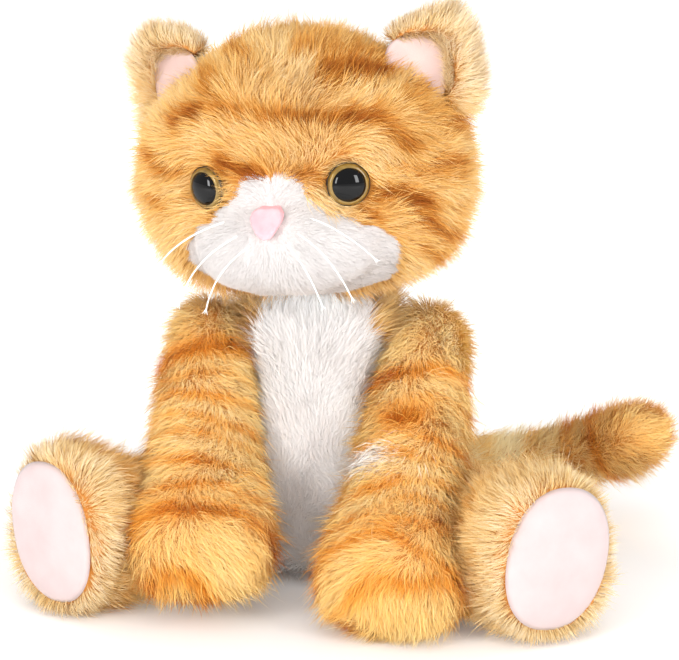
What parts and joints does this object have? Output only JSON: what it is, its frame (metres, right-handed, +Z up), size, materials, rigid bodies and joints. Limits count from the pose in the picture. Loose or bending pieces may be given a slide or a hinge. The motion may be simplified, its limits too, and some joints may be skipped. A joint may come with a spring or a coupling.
{
  "type": "plush cat",
  "caption": "Seated plush tabby cat of orange and white faux fur over fibre stuffing, with safety eyes, whiskers and soft jointed head, arms, legs and tail.",
  "frame": {"origin": "middle of the flat seat, on the surface that the cat sits on", "axes": "+Z up; the cat's body faces -Y and its own left is +X"},
  "size_m": [0.298, 0.2008, 0.2634],
  "materials": {
    "orange_fur": "matte",
    "white_fur": "matte",
    "pink_velvet": "matte",
    "pink_nose": "matte",
    "stuffing_fibre": "matte",
    "clear_lens": "gloss",
    "gold_iris": "satin",
    "black_plastic": "gloss",
    "whisker_nylon": "satin"
  },
  "bodies": {
    "torso": {"body_skin": "orange_fur", "chest_panel": "white_fur", "body_stuffing": "stuffing_fibre"},
    "neck": {"neck_stuffing": "stuffing_fibre"},
    "head": {"head_skin": "orange_fur", "muzzle_panel": "white_fur", "nose_patch": "pink_nose", "head_stuffing": "stuffing_fibre", "right_ear": "orange_fur", "right_ear_lining": "pink_velvet", "right_eye_lens": "clear_lens", "right_eye_iris": "gold_iris", "right_eye_back": "black_plastic", "right_eye_washer": "black_plastic", "right_whisker_upper": "whisker_nylon", "right_whisker_middle": "whisker_nylon", "right_whisker_lower": "whisker_nylon", "left_ear": "orange_fur", "left_ear_lining": "pink_velvet", "left_eye_lens": "clear_lens", "left_eye_iris": "gold_iris", "left_eye_back": "black_plastic", "left_eye_washer": "black_plastic", "left_whisker_upper": "whisker_nylon", "left_whisker_middle": "whisker_nylon", "left_whisker_lower": "whisker_nylon"},
    "right_arm": {"right_arm_skin": "orange_fur", "right_arm_stuffing": "stuffing_fibre"},
    "left_arm": {"left_arm_skin": "orange_fur", "left_arm_stuffing": "stuffing_fibre"},
    "right_leg": {"right_leg_skin": "orange_fur", "right_foot_pad": "pink_velvet", "right_leg_stuffing": "stuffing_fibre"},
    "left_leg": {"left_leg_skin": "orange_fur", "left_foot_pad": "pink_velvet", "left_leg_stuffing": "stuffing_fibre"},
    "tail": {"tail_skin": "orange_fur", "tail_stuffing": "stuffing_fibre"}
  },
  "joints": [
    {"name": "neck_turn", "type": "hinge", "parent": "torso", "child": "neck", "pos_m": [0, -0.012, 0.138], "axis": [0, 0, 1], "range_deg": [-25, 35]},
    {"name": "neck_nod", "type": "hinge", "parent": "neck", "child": "head", "pos_m": [0, -0.012, 0.138], "axis": [1, 0, 0], "range_deg": [-10, 10]},
    {"name": "right_shoulder", "type": "hinge", "parent": "torso", "child": "right_arm", "pos_m": [-0.0495, -0.01, 0.1095], "axis": [-1, 0, 0], "range_deg": [0, 45]},
    {"name": "left_shoulder", "type": "hinge", "parent": "torso", "child": "left_arm", "pos_m": [0.0495, -0.01, 0.1095], "axis": [-1, 0, 0], "range_deg": [0, 45]},
    {"name": "right_hip", "type": "hinge", "parent": "torso", "child": "right_leg", "pos_m": [-0.046, -0.008, 0.029], "axis": [0, 0, -1], "range_deg": [0, 35]},
    {"name": "left_hip", "type": "hinge", "parent": "torso", "child": "left_leg", "pos_m": [0.046, -0.008, 0.029], "axis": [0, 0, 1], "range_deg": [0, 35]},
    {"name": "tail_swing", "type": "hinge", "parent": "torso", "child": "tail", "pos_m": [0.008, 0.045, 0.029], "axis": [0, 0, 1], "range_deg": [-4, 80]}
  ]
}
